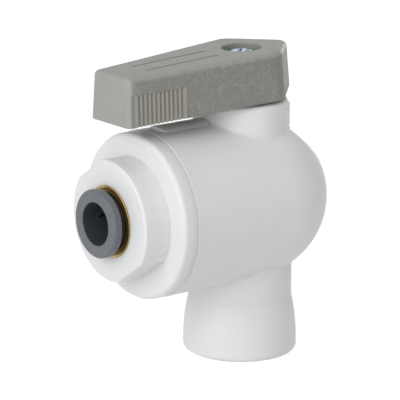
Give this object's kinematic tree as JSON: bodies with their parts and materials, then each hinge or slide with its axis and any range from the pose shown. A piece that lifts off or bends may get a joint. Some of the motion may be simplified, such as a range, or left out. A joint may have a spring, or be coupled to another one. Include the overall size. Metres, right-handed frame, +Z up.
{
  "type": "elbow ball valve",
  "caption": "Plastic elbow ball valve with a push-in tube inlet, a female pipe-thread outlet facing down and a quarter-turn lever on top.",
  "frame": {"origin": "centre of the outlet's mouth, on the skirt's bottom face", "axes": "+Z up along the outlet and stem, +X out of the inlet along the tube; the lever points along +X when open"},
  "size_m": [0.0612, 0.038, 0.0714],
  "materials": {
    "white_polypropylene": "satin",
    "white_ptfe": "waxy",
    "white_acetal": "satin",
    "black_rubber": "matte",
    "grey_nylon": "grained",
    "grey_acetal": "satin",
    "turned_brass": "turned",
    "zinc_plated_steel": "bright zinc",
    "stainless_steel": "bright"
  },
  "bodies": {
    "housing": {"valve_body": "white_polypropylene", "end_cap": "white_polypropylene", "end_cap_o_ring": "black_rubber", "inlet_seat": "white_ptfe", "inlet_seat_o_ring": "black_rubber", "rear_seat": "white_ptfe", "rear_seat_o_ring": "black_rubber", "stem_thrust_washer": "white_ptfe", "brass_sleeve": "turned_brass", "seal_spacer": "white_acetal", "tube_o_ring": "black_rubber"},
    "operator": {"handle": "grey_nylon", "handle_screw": "zinc_plated_steel", "stem": "white_acetal", "ball": "white_acetal", "lower_stem_o_ring": "black_rubber", "upper_stem_o_ring": "black_rubber"},
    "release_collet": {"collet": "grey_acetal", "collet_tooth_1": "stainless_steel", "collet_tooth_2": "stainless_steel", "collet_tooth_3": "stainless_steel", "collet_tooth_4": "stainless_steel"}
  },
  "joints": [
    {"name": "handle_turn", "type": "hinge", "parent": "housing", "child": "operator", "pos_m": [0, 0, 0.06], "axis": [0, 0, 1], "range_deg": [-90, 0]},
    {"name": "collet_release", "type": "slide", "parent": "housing", "child": "release_collet", "axis": [-1, 0, 0], "range_m": [0, 0.0013]}
  ]
}
